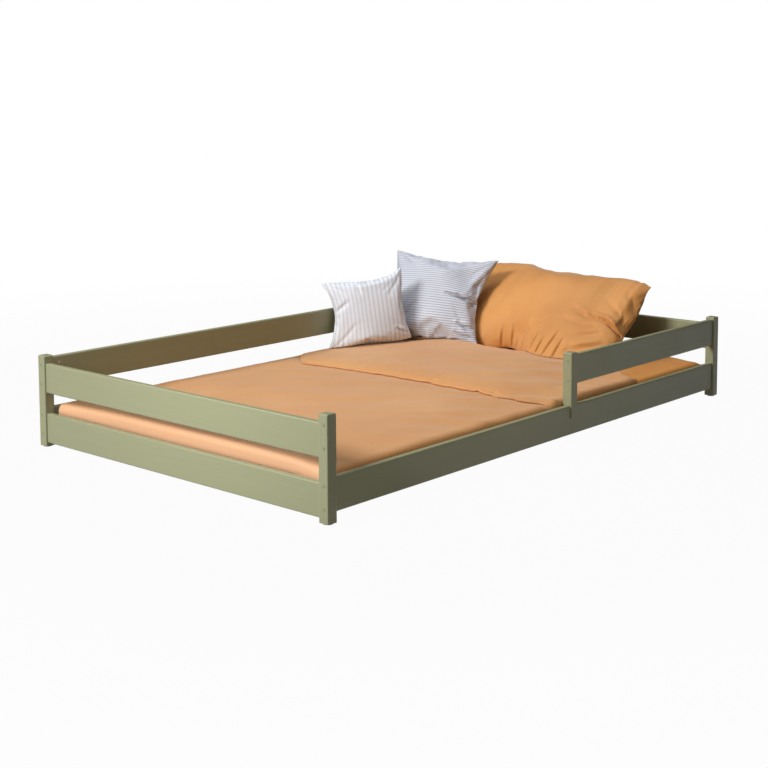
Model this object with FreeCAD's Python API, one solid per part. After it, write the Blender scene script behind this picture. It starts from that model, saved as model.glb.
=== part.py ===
import FreeCAD, Part
import math
import os

# Toddler floor bed. Millimetres, +Z up. X runs from the foot (-X) to the head (+X).
# The low entry side is -Y. The origin is on the floor, under the middle of the bed.

V = FreeCAD.Vector

# ---- mattress that the bed is built around ----
mattress_length = 1990.0
mattress_width = 1190.0
mattress_height = 70.0
mattress_corner = 45.0        # rounding of the corners seen from above
mattress_edge = 22.0          # rounding of the top edges
mattress_space = 10.0         # from the mattress to each post
sheet_thickness = 1.5
sheet_tuck = 70.0             # how far the fitted sheet turns in under the mattress
rest_gap = 0.3                # between loose bodies that rest on each other

# ---- planed bars and boards ----
post_size = 35.0
post_top = 295.0
post_bevel = 3.0
glide_height = 3.0
glide_radius = 14.0
board_thickness = 20.0
board_height = 95.0
edge_round = 4.0
board_recess = 5.0            # boards stand behind the posts' outer faces
side_lower_z = 30.0           # undersides of the boards above the floor
side_upper_z = 192.0
end_lower_z = 14.0
end_upper_z = 175.0
guard_length = 890.0          # the short rail on the entry side

# ---- lap of the guard post over the entry rail ----
lap_outer_drop = 42.0         # tongue seen from outside
lap_inner_drop = 60.0
lap_corner = 8.0

# ---- slatted base ----
ledger_width = 30.0
ledger_height = 18.0
ledger_end_gap = 5.0
slat_thickness = 12.0
slat_width = 70.0
slat_count = 15
slat_end_gap = 4.0            # from a slat's end to the side rail
slat_edge = 2.0
beam_width = 45.0
beam_height = 24.0
beam_foot_count = 3
beam_foot_radius = 20.0
bracket_plate = 2.0
bracket_height = 60.0
webbing_width = 25.0
webbing_thickness = 1.0
webbing_offset = 430.0        # from the middle line of the bed

# ---- connecting hardware ----
rod_sides = 8                 # of hidden bolts, nuts, dowels, screws and their holes
disc_sides = 12               # of feet, glides and the flanges of the caps
bolt_radius = 3.0
bolt_head_radius = 4.5
bolt_head_height = 4.0
bolt_head_depth = 5.0         # seat of the head below the post's face
bolt_inset = 12.0             # lower bolt above a rail's underside
bolt_spacing = 62.0
bolt_tip = 8.0                # past the middle of the barrel nut
cap_radius = 5.5
cap_flange = 0.8
nut_radius = 5.0
nut_length = 14.0
nut_inset = 30.0              # from the rail's end
nut_depth = 16.0
hole_clearance = 0.25
dowel_radius = 4.0
dowel_in_post = 13.0
dowel_in_board = 23.0
dowel_inset = 24.0            # from a board's long edges
screw_radius = 2.0
screw_head_radius = 4.0
screw_head_height = 2.4
ledger_screw_length = 44.0
ledger_screw_count = 5
slat_screw_length = 26.0
lap_screw_length = 26.0
lap_screw_inset = 20.0        # from the rail's top and from the tongue's end
bracket_screw_length = 16.0
bracket_screw_rise = 4.0       # lower screw above the beam
bracket_screw_spacing = 26.0
bracket_ledge = 30.0

# ---- duvet ----
duvet_thickness = 12.5        # at the shoulders, over the sheet
duvet_crown = 12.0            # rise of the middle over the shoulders
duvet_fold_crown = 24.0
duvet_hem_z = 94.0
duvet_post_gap = 1.0          # from the hanging sides to the posts
duvet_foot_gap = 1.0
duvet_side_round = 45.0
duvet_end_round = 40.0
duvet_fold_width = 648.0      # of the turned-back part
duvet_fold_rise = 7.0
duvet_fold_round = 16.0
duvet_pillow_gap = 60.0       # from its head edge to the pillow's lower seam
duvet_head_round = 26.0
duvet_steps = 4               # loft sections in each rounding

# ---- pillow: leans in the near half of the head end ----
pillow_length = 728.0
pillow_middle_y = -51.0
pillow_height = 384.0         # straight from the lower to the upper seam
pillow_lean = 48.0            # degrees back from upright
pillow_seam_gap = 355.0       # from its lower seam to the head board
pillow_seam_rise = 18.0       # lower seam above the sheet
pillow_front = 70.0           # bulge before and behind the seams
pillow_back = 150.0
pillow_end_share = 0.1        # thickness left at the sewn ends
pillow_end_power = 2.3        # 2 is an ellipse seen from above, more is fuller
pillow_steps = 5

# ---- cushions: half width and half height between the corner tips ----
striped_half_width = 207.0
striped_half_height = 183.0
striped_bulge = 66.0
striped_ahead = 23.0          # its middle in front of the pillow's lower seam
striped_side_gap = 235.0      # from its middle to the line of the far posts
striped_yaw = 23.0
striped_lean = 33.0
striped_roll = -3.5
small_half_width = 160.0
small_half_height = 133.0
small_bulge = 50.0
small_ahead = 294.0
small_side_gap = 104.0
small_yaw = 47.0
small_lean = 13.0
small_roll = 6.5
side_pull = 0.1               # how far the sides draw in, as a share of the half size
cushion_steps = 4
settle_start = 60.0           # a cushion is lowered onto the duvet from here

# ---- derived places ----
inner_x = mattress_length / 2 + mattress_space
inner_y = mattress_width / 2 + mattress_space
outer_x = inner_x + post_size
outer_y = inner_y + post_size
rail_y = outer_y - board_recess - board_thickness / 2      # middle line of a side rail
board_x = outer_x - board_recess - board_thickness / 2     # middle line of an end board
rail_inner = rail_y - board_thickness / 2
board_inner = board_x - board_thickness / 2
side_lower_top = side_lower_z + board_height
ledger_top = side_lower_z + ledger_height
slat_top = ledger_top + slat_thickness
mattress_z = slat_top + rest_gap + sheet_thickness
sheet_top = mattress_z + mattress_height + sheet_thickness
pillow_seam_x = board_inner - pillow_seam_gap
duvet_head_x = pillow_seam_x - duvet_pillow_gap
duvet_fold_x = duvet_head_x - duvet_fold_width
guard_x = inner_x - guard_length - post_size / 2           # middle of the guard post
guard_post_y = outer_y - post_size / 2
bolt_heights = [rail_z + bolt_inset + step
                for rail_z in (side_lower_z, side_upper_z)
                for step in (0, bolt_spacing)]
guard_bolt_heights = bolt_heights[2:]


# ---- shapes that repeat ----
def block(x, y, z):
    """A box from its (low, high) pair on each axis."""
    return Part.makeBox(x[1] - x[0], y[1] - y[0], z[1] - z[0], V(x[0], y[0], z[0]))


def around(middle, size):
    return (middle - size / 2, middle + size / 2)


def eased(shape, radius, keep=None):
    """Rounds the edges for which keep(edge) is true, or all of them."""
    edges = [edge for edge in shape.Edges if keep is None or keep(edge)]
    return shape.makeFillet(radius, edges)


def chamfered(shape, size, axis):
    """Takes the corners off the edges that run along an axis."""
    return shape.makeChamfer(size, [edge for edge in shape.Edges if runs_along(edge, axis)])


def runs_along(edge, axis):
    line = edge.Vertexes[-1].Point - edge.Vertexes[0].Point
    return abs(abs(line.normalize().dot(axis)) - 1) < 1e-6


def polygon(middle, axis, radius, sides):
    """Closed outline square to the axis, with one corner straight up or towards +X."""
    upright = V(1, 0, 0) if abs(axis.z) > 0.5 else V(0, 0, 1)
    across = axis.cross(upright)
    turns = [math.radians(360 * side / sides) for side in range(sides + 1)]
    return Part.makePolygon([middle + upright * (radius * math.cos(turn))
                             + across * (radius * math.sin(turn)) for turn in turns])


def rod(start, axis, length, radius, end_radius=None, sides=0):
    """Bar or bore of the hardware, drawn with few sides; it may taper."""
    sides = sides or rod_sides
    ends = [polygon(start, axis, radius, sides),
            polygon(start + axis * length, axis, end_radius or radius, sides)]
    return Part.makeLoft(ends, True, True)


def group(solids):
    return Part.makeCompound(solids)


def screw(start, axis, length):
    """Countersunk screw, or the hole that it fills: start is the middle of its head's face."""
    head = rod(start, axis, screw_head_height, screw_head_radius, screw_radius)
    return head.fuse(rod(start, axis, length, screw_radius)).removeSplitter()


# ---- posts ----
def bolt_cut(face_x, inward, y, z):
    """Clearance hole through a post with a counterbore for the head."""
    start = V(face_x, y, z)
    hole = rod(start, V(inward, 0, 0), post_size, bolt_radius + hole_clearance)
    sink = rod(start, V(inward, 0, 0), bolt_head_depth, bolt_head_radius + hole_clearance)
    return hole.fuse(sink)


def dowel_heights():
    return [board_z + step
            for board_z in (end_lower_z, end_upper_z)
            for step in (dowel_inset, board_height - dowel_inset)]


def post_edges(bar):
    """Rounds the upright edges and bevels the top."""
    bar = eased(bar, edge_round, lambda edge: runs_along(edge, V(0, 0, 1)))
    top = [edge for edge in bar.Edges if edge.BoundBox.ZMin > post_top - 0.01]
    return bar.makeChamfer(post_bevel, top)


def corner_post(side_x, side_y):
    bar = block(around(side_x * (outer_x - post_size / 2), post_size),
                around(side_y * (outer_y - post_size / 2), post_size),
                (glide_height, post_top))
    bar = post_edges(bar)
    cuts = [bolt_cut(side_x * outer_x, -side_x, side_y * rail_y, z) for z in bolt_heights]
    cuts += [rod(V(side_x * board_x, side_y * inner_y, z), V(0, side_y, 0),
                 dowel_in_post + hole_clearance, dowel_radius + hole_clearance)
             for z in dowel_heights()]
    return bar.cut(cuts)


def lap_screw_heights():
    return (side_lower_top - lap_screw_inset, side_lower_top - lap_inner_drop + lap_screw_inset)


def guard_post():
    """Stands astride the entry rail: a thin tongue outside and a thicker one inside."""
    bar = block(around(guard_x, post_size), around(-guard_post_y, post_size),
                (side_lower_top - lap_inner_drop, post_top))
    bar = post_edges(bar)
    slot = block(around(guard_x, 2 * post_size), around(-rail_y, board_thickness),
                 (0, side_lower_top))
    outside = (-outer_y, -rail_y)
    tongue_end = side_lower_top - lap_outer_drop
    tongue = block(around(guard_x, post_size), outside, (tongue_end, post_top))
    tongue = eased(tongue, lap_corner,
                   lambda edge: runs_along(edge, V(0, 1, 0)) and edge.BoundBox.ZMax < side_lower_top)
    trim = block(around(guard_x, 2 * post_size), outside, (0, side_lower_top)).cut(tongue)
    bar = bar.cut([slot, trim])
    cuts = [bolt_cut(guard_x - post_size / 2, 1, -rail_y, z) for z in guard_bolt_heights]
    cuts += [screw(V(guard_x, -inner_y, z), V(0, -1, 0), lap_screw_length)
             for z in lap_screw_heights()]
    return bar.cut(cuts)


# ---- rails and boards ----
def bolted_rail(start_x, end_x, side_y, under_z):
    """Side rail with the holes for two bolts and two barrel nuts in each end."""
    bar = block((start_x, end_x), around(side_y * rail_y, board_thickness),
                (under_z, under_z + board_height))
    bar = eased(bar, edge_round, lambda edge: runs_along(edge, V(1, 0, 0)))
    cuts = []
    for end, inward in ((start_x, 1), (end_x, -1)):
        for z in (under_z + bolt_inset, under_z + bolt_inset + bolt_spacing):
            cuts.append(rod(V(end, side_y * rail_y, z), V(inward, 0, 0),
                            nut_inset + bolt_tip + 2, bolt_radius + hole_clearance))
            cuts.append(rod(V(end + inward * nut_inset, side_y * rail_inner, z),
                            V(0, side_y, 0), nut_depth, nut_radius + hole_clearance))
    return bar.cut(cuts)


def end_board(side_x, under_z):
    """Board of the foot or head, doweled between two posts."""
    bar = block(around(side_x * board_x, board_thickness), (-inner_y, inner_y),
                (under_z, under_z + board_height))
    bar = eased(bar, edge_round, lambda edge: runs_along(edge, V(0, 1, 0)))
    cuts = [rod(V(side_x * board_x, side_y * inner_y, z), V(0, -side_y, 0),
                dowel_in_board + hole_clearance, dowel_radius + hole_clearance)
            for side_y in (-1, 1)
            for z in (under_z + dowel_inset, under_z + board_height - dowel_inset)]
    return bar.cut(cuts)


def lower_board(side_x):
    """The lower board also carries the bracket of the centre beam."""
    return end_board(side_x, end_lower_z).cut(bracket_screws(side_x))


# ---- slatted base ----
ledger_half = inner_x - ledger_end_gap
ledger_inner = rail_inner - ledger_width
ledger_screw_z = side_lower_z + ledger_height / 2
ledger_screw_step = (2 * ledger_half - 2 * slat_width) / (ledger_screw_count - 1)
ledger_screw_xs = [-ledger_half + slat_width + ledger_screw_step * i
                   for i in range(ledger_screw_count)]
slat_pitch = (2 * ledger_half - slat_width) / (slat_count - 1)
slat_xs = [-ledger_half + slat_width / 2 + slat_pitch * i for i in range(slat_count)]
slat_half = rail_inner - slat_end_gap
beam_z = ledger_top - beam_height
beam_half = board_inner - bracket_plate - rest_gap
beam_foot_xs = [2 * beam_half * (i + 1) / (beam_foot_count + 1) - beam_half
                for i in range(beam_foot_count)]
bracket_screw_zs = (ledger_top + bracket_screw_rise,
                    ledger_top + bracket_screw_rise + bracket_screw_spacing)


def slat_screw_places():
    """The outermost slats are screwed down at both ends."""
    return [V(x, side * (rail_inner - ledger_width / 2), slat_top)
            for x in (slat_xs[0], slat_xs[-1]) for side in (-1, 1)]


def ledger(side_y):
    bar = block((-ledger_half, ledger_half),
                sorted((side_y * ledger_inner, side_y * rail_inner)),
                (side_lower_z, ledger_top))
    bar = chamfered(bar, slat_edge, V(1, 0, 0))
    cuts = [screw(V(x, side_y * ledger_inner, ledger_screw_z), V(0, side_y, 0),
                       ledger_screw_length) for x in ledger_screw_xs]
    cuts += [screw(place, V(0, 0, -1), slat_screw_length)
             for place in slat_screw_places()]
    return bar.cut(cuts)


def lower_rail(side_y):
    """Side rail with the pilot holes of its ledger's screws and, on the entry side, the lap's."""
    bar = bolted_rail(-inner_x, inner_x, side_y, side_lower_z)
    pilots = [rod(V(x, side_y * ledger_inner, ledger_screw_z), V(0, side_y, 0),
                  ledger_screw_length, screw_radius) for x in ledger_screw_xs]
    if side_y < 0:
        pilots += [rod(V(guard_x, -inner_y, z), V(0, -1, 0), lap_screw_length, screw_radius)
                   for z in lap_screw_heights()]
    return bar.cut(pilots)


def slat(middle_x):
    bar = block(around(middle_x, slat_width), (-slat_half, slat_half),
                (ledger_top, slat_top))
    bar = chamfered(bar, slat_edge, V(0, 1, 0))
    cuts = [screw(place, V(0, 0, -1), slat_screw_length)
            for place in slat_screw_places() if abs(place.x - middle_x) < 1]
    return bar.cut(cuts) if cuts else bar


def centre_beam():
    bar = block((-beam_half, beam_half), around(0, beam_width), (beam_z, ledger_top))
    return chamfered(bar, slat_edge, V(1, 0, 0))


def beam_foot(x):
    """Turned foot with a chamfered tread."""
    up = V(0, 0, 1)
    tread = rod(V(x, 0, 0), up, slat_edge, beam_foot_radius - slat_edge, beam_foot_radius,
                sides=disc_sides)
    leg = rod(V(x, 0, slat_edge), up, beam_z - slat_edge, beam_foot_radius, sides=disc_sides)
    return leg.fuse(tread)


def beam_bracket(side_x):
    """Bent steel plate on the end board: a ledge and two cheeks hold the beam's end."""
    inner = beam_width / 2 + rest_gap
    near = side_x * board_inner
    low = beam_z - bracket_plate
    plate = block(sorted((near, near - side_x * bracket_plate)),
                  around(0, 2 * (inner + bracket_plate)), (low, low + bracket_height))
    tray = block(sorted((near, near - side_x * bracket_ledge)),
                 around(0, 2 * (inner + bracket_plate)), (low, beam_z))
    cheeks = [block(sorted((near, near - side_x * bracket_ledge)),
                    sorted((side * inner, side * (inner + bracket_plate))),
                    (low, ledger_top)) for side in (-1, 1)]
    return plate.fuse([tray] + cheeks).removeSplitter().cut(bracket_screws(side_x))


def bracket_screws(side_x):
    return [screw(V(side_x * (board_inner - bracket_plate), 0, z), V(side_x, 0, 0),
                  bracket_screw_length) for z in bracket_screw_zs]


def webbing(side_y):
    """Tape under the slats that keeps them spaced and lets the base roll up."""
    return block((slat_xs[0], slat_xs[-1]), around(side_y * webbing_offset, webbing_width),
                 (ledger_top - webbing_thickness, ledger_top))


# ---- hardware ----
def bolt_places():
    """(face, inward, y, z) of every connecting bolt."""
    places = []
    for side_x in (-1, 1):
        for z in bolt_heights:
            places.append((side_x * outer_x, -side_x, rail_y, z))
        for z in bolt_heights[:2]:
            places.append((side_x * outer_x, -side_x, -rail_y, z))
    for z in guard_bolt_heights:
        places.append((outer_x, -1, -rail_y, z))
        places.append((guard_x - post_size / 2, 1, -rail_y, z))
    return places


def cap_places():
    """Every bolt, and the two unused holes of the near foot post."""
    return bolt_places() + [(-outer_x, 1, -rail_y, z) for z in guard_bolt_heights]


def connecting_bolt(face, inward, y, z):
    seat = V(face + inward * bolt_head_depth, y, z)
    axis = V(inward, 0, 0)
    reach = post_size - bolt_head_depth + nut_inset + bolt_tip
    head = rod(seat - axis * bolt_head_height, axis, bolt_head_height, bolt_head_radius)
    return head.fuse(rod(seat, axis, reach, bolt_radius))


def barrel_nut(face, inward, y, z):
    side_y = math.copysign(1, y)
    middle = V(face + inward * (post_size + nut_inset), 0, z)
    start = V(middle.x, side_y * (rail_inner + nut_depth - nut_length), z)
    nut = rod(start, V(0, side_y, 0), nut_length, nut_radius)
    thread = rod(V(middle.x - 2 * nut_radius, y, z), V(1, 0, 0), 4 * nut_radius,
                 bolt_radius + hole_clearance / 2)
    return nut.cut(thread)


def bolt_cap(face, inward, y, z):
    """Plug in the counterbore, over the bolt's head, with a thin flange on the post."""
    axis = V(inward, 0, 0)
    middle = V(face, y, z)
    plug = rod(middle, axis, bolt_head_depth - bolt_head_height, bolt_head_radius)
    flange = rod(middle, axis * -1, cap_flange, cap_radius, cap_radius - cap_flange,
                 sides=disc_sides)
    return flange.fuse(plug)


def board_dowels():
    length = dowel_in_post + dowel_in_board
    return [rod(V(side_x * board_x, side_y * (inner_y - dowel_in_board), z),
                V(0, side_y, 0), length, dowel_radius)
            for side_x in (-1, 1) for side_y in (-1, 1) for z in dowel_heights()]


def floor_glides():
    return [rod(V(side_x * (outer_x - post_size / 2), side_y * (outer_y - post_size / 2), 0),
                V(0, 0, 1), glide_height, glide_radius, sides=disc_sides)
            for side_x in (-1, 1) for side_y in (-1, 1)]


# ---- mattress and fitted sheet ----
def rounded_pad(grow, low, high):
    """The mattress's outline, grown sideways, between two heights."""
    half_x = mattress_length / 2 + grow
    half_y = mattress_width / 2 + grow
    pad = block((-half_x, half_x), (-half_y, half_y), (low, high))
    pad = eased(pad, mattress_corner + grow, lambda edge: runs_along(edge, V(0, 0, 1)))
    top = [edge for edge in pad.Edges if edge.BoundBox.ZMin > high - 0.01]
    return pad.makeFillet(mattress_edge + grow, top)


def mattress():
    return rounded_pad(0, mattress_z, mattress_z + mattress_height)


def fitted_sheet():
    """Skin over the top and sides that turns in under the edges."""
    skin = rounded_pad(sheet_thickness, mattress_z - sheet_thickness, sheet_top)
    opening = block(around(0, mattress_length - 2 * sheet_tuck),
                    around(0, mattress_width - 2 * sheet_tuck),
                    (mattress_z - 2 * sheet_thickness, mattress_z + 1))
    return skin.cut([mattress(), opening])


# ---- duvet: one ruled loft of cross-sections along the bed ----
duvet_half = inner_y - duvet_post_gap
duvet_foot_x = -inner_x + duvet_foot_gap
duvet_top = sheet_top + rest_gap + duvet_thickness


def duvet_section(x, top, half, crown=duvet_crown):
    """Hanging sides, round shoulders and a low crown, at one place along the bed."""
    share = min((top - duvet_hem_z) / (duvet_top - duvet_hem_z), 1)
    bend = duvet_side_round * share
    slant = bend * (1 - math.sqrt(0.5))
    foot = [V(x, -half, duvet_hem_z), V(x, half, duvet_hem_z)]
    right = [V(x, half, top - bend), V(x, half - slant, top - slant), V(x, half - bend, top)]
    left = [V(x, -point.y, point.z) for point in reversed(right)]
    edges = [Part.LineSegment(foot[0], foot[1]),
             Part.LineSegment(foot[1], right[0]),
             Part.Arc(*right),
             Part.Arc(right[2], V(x, 0, top + crown * share), left[0]),
             Part.Arc(*left),
             Part.LineSegment(left[2], foot[0])]
    return Part.Wire([edge.toShape() for edge in edges])


def quarter_turn():
    return [math.radians(90 * i / duvet_steps) for i in range(duvet_steps + 1)]


def duvet():
    folded_top = duvet_top + duvet_fold_rise
    sections = []
    for turn in quarter_turn():
        drop = duvet_end_round * (1 - math.sin(turn))
        sections.append(duvet_section(duvet_foot_x + duvet_end_round * (1 - math.cos(turn)),
                                      duvet_top - drop, duvet_half - drop / 2))
    for turn in quarter_turn():
        crown = duvet_crown + (duvet_fold_crown - duvet_crown) * math.sin(turn)
        sections.append(duvet_section(duvet_fold_x + duvet_fold_round * (1 - math.cos(turn)),
                                      duvet_top + duvet_fold_rise * math.sin(turn),
                                      duvet_half, crown))
    for turn in reversed(quarter_turn()):
        drop = duvet_head_round * (1 - math.sin(turn))
        sections.append(duvet_section(duvet_head_x - duvet_head_round * (1 - math.cos(turn)),
                                      folded_top - drop, duvet_half, duvet_fold_crown))
    cover = Part.makeLoft(sections, True, True)
    room = rounded_pad(sheet_thickness + rest_gap, -mattress_height, sheet_top + rest_gap)
    return cover.cut(room)


# ---- pillow: a loft of lens-shaped sections along its length ----
def pillow():
    lean = math.radians(pillow_lean)
    along = V(math.sin(lean), 0, math.cos(lean))
    out = V(-math.cos(lean), 0, math.sin(lean))
    lower = V(pillow_seam_x, 0, sheet_top + pillow_seam_rise)
    upper = lower + along * pillow_height
    middle = (lower + upper) * 0.5
    sections = []
    for i in range(-pillow_steps, pillow_steps + 1):
        place = math.sin(math.radians(90 * i / pillow_steps))
        fullness = math.sqrt(1 - abs(place) ** pillow_end_power)
        share = pillow_end_share + (1 - pillow_end_share) * fullness
        shift = V(0, pillow_middle_y + place * pillow_length / 2, 0)
        front = middle + out * (pillow_front * share) + shift
        back = middle - out * (pillow_back * share) + shift
        arcs = [Part.Arc(lower + shift, front, upper + shift),
                Part.Arc(upper + shift, back, lower + shift)]
        sections.append(Part.Wire([arc.toShape() for arc in arcs]))
    body = Part.makeLoft(sections, True, True)
    floor = sheet_top + rest_gap
    room = block((0, board_inner - rest_gap), (-inner_y, inner_y),
                 (floor, floor + 2 * pillow_height))
    return body.common(room)


# ---- cushions: front and back halves, each a loft of outlines that shrink outwards ----
def cushion_outline(half_width, half_height, share, w):
    """Four arcs between the corner tips; they draw in at the seam and swell near the crown."""
    corner_x = half_width * share
    corner_y = half_height * share
    swell = 1 - side_pull + 2.2 * side_pull * (1 - share)
    tips = [V(-corner_x, -corner_y, w), V(corner_x, -corner_y, w),
            V(corner_x, corner_y, w), V(-corner_x, corner_y, w)]
    mids = [V(0, -corner_y * swell, w), V(corner_x * swell, 0, w),
            V(0, corner_y * swell, w), V(-corner_x * swell, 0, w)]
    arcs = [Part.Arc(tips[i], mids[i], tips[(i + 1) % 4]) for i in range(4)]
    return Part.Wire([arc.toShape() for arc in arcs])


def cushion(half_width, half_height, bulge):
    halves = []
    for side in (1, -1):
        outlines = []
        for i in range(cushion_steps + 1):
            turn = math.radians(80 * i / cushion_steps)
            share = math.cos(turn) ** 0.8
            outlines.append(cushion_outline(half_width, half_height, share,
                                            side * bulge * math.sin(turn)))
        halves.append(Part.makeLoft(outlines, True, True))
    return halves[0].fuse(halves[1])


def placed(shape, place, height, yaw, lean, roll):
    """Stands a cushion up: yaw turns its front from -X towards -Y, lean tips it back."""
    turn = math.radians(yaw)
    facing = V(-math.cos(turn), -math.sin(turn), 0)
    tip = math.radians(lean)
    front = facing * math.cos(tip) + V(0, 0, 1) * math.sin(tip)
    top = V(0, 0, 1) * math.cos(tip) - facing * math.sin(tip)
    right = top.cross(front)
    matrix = FreeCAD.Matrix(right.x, top.x, front.x, place[0],
                            right.y, top.y, front.y, place[1],
                            right.z, top.z, front.z, height,
                            0, 0, 0, 1)
    spin = FreeCAD.Rotation(V(0, 0, 1), roll)
    shape.Placement = FreeCAD.Placement(matrix).multiply(FreeCAD.Placement(V(), spin))
    return shape


def settled(shape, support):
    """Lowers a loose piece until it rests on its support."""
    for _ in range(20):
        gap = shape.distToShape(support)[0] - rest_gap
        if gap < 0.02:
            break
        shape.translate(V(0, 0, -gap))
    return shape


def striped_cushion(support):
    pad = cushion(striped_half_width, striped_half_height, striped_bulge)
    height = duvet_top + striped_half_height + settle_start
    place = (pillow_seam_x - striped_ahead, inner_y - striped_side_gap)
    pad = placed(pad, place, height, striped_yaw, striped_lean, striped_roll)
    return settled(pad, support)


def small_cushion(support):
    pad = cushion(small_half_width, small_half_height, small_bulge)
    height = duvet_top + small_half_height + settle_start
    place = (pillow_seam_x - small_ahead, inner_y - small_side_gap)
    pad = placed(pad, place, height, small_yaw, small_lean, small_roll)
    return settled(pad, support)


# ---- the bed ----
def build():
    parts = {}
    for end, side_x in (("foot", -1), ("head", 1)):
        for side, side_y in (("near", -1), ("far", 1)):
            parts["post_%s_%s" % (end, side)] = corner_post(side_x, side_y)
        parts["%s_lower_board" % end] = lower_board(side_x)
        parts["%s_upper_board" % end] = end_board(side_x, end_upper_z)
    parts["post_guard"] = guard_post()
    parts["near_lower_rail"] = lower_rail(-1)
    parts["far_lower_rail"] = lower_rail(1)
    parts["far_upper_rail"] = bolted_rail(-inner_x, inner_x, 1, side_upper_z)
    parts["guard_rail"] = bolted_rail(inner_x - guard_length, inner_x, -1, side_upper_z)

    parts["ledger_near"] = ledger(-1)
    parts["ledger_far"] = ledger(1)
    parts["centre_beam"] = centre_beam()
    parts["beam_feet"] = group([beam_foot(x) for x in beam_foot_xs])
    parts["beam_brackets"] = group([beam_bracket(side) for side in (-1, 1)])
    for i, x in enumerate(slat_xs):
        parts["slat_%02d" % (i + 1)] = slat(x)
    parts["slat_webbing_near"] = webbing(-1)
    parts["slat_webbing_far"] = webbing(1)

    parts["connecting_bolts"] = group([connecting_bolt(*place) for place in bolt_places()])
    parts["barrel_nuts"] = group([barrel_nut(*place) for place in bolt_places()])
    parts["bolt_caps"] = group([bolt_cap(*place) for place in cap_places()])
    parts["board_dowels"] = group(board_dowels())
    parts["ledger_screws"] = group([screw(V(x, side * ledger_inner, ledger_screw_z),
                                          V(0, side, 0), ledger_screw_length)
                                    for side in (-1, 1) for x in ledger_screw_xs])
    parts["slat_screws"] = group([screw(place, V(0, 0, -1), slat_screw_length)
                                  for place in slat_screw_places()])
    parts["lap_screws"] = group([screw(V(guard_x, -inner_y, z), V(0, -1, 0), lap_screw_length)
                                 for z in lap_screw_heights()])
    parts["bracket_screws"] = group(bracket_screws(-1) + bracket_screws(1))
    parts["floor_glides"] = group(floor_glides())

    parts["mattress"] = mattress()
    parts["fitted_sheet"] = fitted_sheet()
    parts["duvet"] = duvet()
    parts["pillow"] = pillow()
    parts["striped_cushion"] = striped_cushion(parts["duvet"])
    parts["small_cushion"] = small_cushion(parts["duvet"])
    return parts


os.makedirs("parts", exist_ok=True)
for name, shape in build().items():
    shape.exportStep("parts/%s.step" % name)
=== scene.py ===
import math

import bmesh
import bpy
from mathutils import Matrix, Vector, noise


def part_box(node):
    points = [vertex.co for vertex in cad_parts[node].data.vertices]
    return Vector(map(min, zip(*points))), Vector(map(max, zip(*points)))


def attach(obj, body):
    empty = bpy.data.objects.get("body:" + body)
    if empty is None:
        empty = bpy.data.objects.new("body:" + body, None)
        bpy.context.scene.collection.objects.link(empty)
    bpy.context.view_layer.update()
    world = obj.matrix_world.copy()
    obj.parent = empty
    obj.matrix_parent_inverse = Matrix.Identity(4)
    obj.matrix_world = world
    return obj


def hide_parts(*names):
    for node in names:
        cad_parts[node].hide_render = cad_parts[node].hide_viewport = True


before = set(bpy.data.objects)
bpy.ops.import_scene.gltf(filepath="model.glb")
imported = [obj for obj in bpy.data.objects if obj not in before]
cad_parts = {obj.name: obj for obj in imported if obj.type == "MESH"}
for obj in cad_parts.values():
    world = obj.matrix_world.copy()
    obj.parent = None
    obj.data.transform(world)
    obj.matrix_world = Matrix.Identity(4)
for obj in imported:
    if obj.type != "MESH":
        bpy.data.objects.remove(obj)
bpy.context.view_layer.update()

# Toddler floor bed with its bedding. Metres. X runs from the foot (-X) to the head (+X),
# the open entry side is -Y, and the floor is at z = 0.

MM = 0.001

# ---- places read from the frame ----
sheet_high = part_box("fitted_sheet")[1]
mattress_low, mattress_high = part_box("mattress")
duvet_low, duvet_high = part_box("duvet")
striped_low, striped_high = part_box("striped_cushion")
small_low, small_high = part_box("small_cushion")
pillow_low, pillow_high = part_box("pillow")
sheet_top = sheet_high.z
sheet_half = Vector((sheet_high.x, sheet_high.y))


# ---- small helpers ----
def smooth(low, high, value):
    """0 below low, 1 above high, and an even slope between them."""
    share = min(max((value - low) / (high - low), 0.0), 1.0)
    return share * share * (3 - 2 * share)


def bump(value, middle, width):
    return math.exp(-((value - middle) / width) ** 2)


def cloth_noise(x, y, size, seed):
    """Soft noise from about -1 to 1 with features of that size."""
    return noise.noise(Vector((x / size, y / size, seed * 7.31)))


def linear(hex_colour):
    """sRGB hex to the linear colour that a shader takes."""
    parts = [int(hex_colour[i:i + 2], 16) / 255 for i in (0, 2, 4)]
    parts = [c / 12.92 if c <= 0.04045 else ((c + 0.055) / 1.055) ** 2.4 for c in parts]
    return (*parts, 1.0)


def mesh_object(name, bm):
    mesh = bpy.data.meshes.new(name)
    bm.to_mesh(mesh)
    bm.free()
    piece = bpy.data.objects.new(name, mesh)
    bpy.context.scene.collection.objects.link(piece)
    for face in mesh.polygons:
        face.use_smooth = True
    return piece


def modifier(piece, kind, **settings):
    made = piece.modifiers.new(kind.lower(), kind)
    for key, value in settings.items():
        setattr(made, key, value)
    return made


def apply_modifiers(piece):
    """Bakes a piece's modifiers into its mesh."""
    graph = bpy.context.evaluated_depsgraph_get()
    baked = bpy.data.meshes.new_from_object(piece.evaluated_get(graph))
    old = piece.data
    piece.modifiers.clear()
    piece.data = baked
    bpy.data.meshes.remove(old)


# ---- materials ----
def material(name):
    made = bpy.data.materials.new(name)
    made.use_nodes = True
    tree = made.node_tree
    tree.nodes.clear()
    surface = node(tree, "ShaderNodeBsdfPrincipled")
    output = node(tree, "ShaderNodeOutputMaterial")
    tree.links.new(surface.outputs[0], output.inputs["Surface"])
    return made, tree, surface


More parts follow.
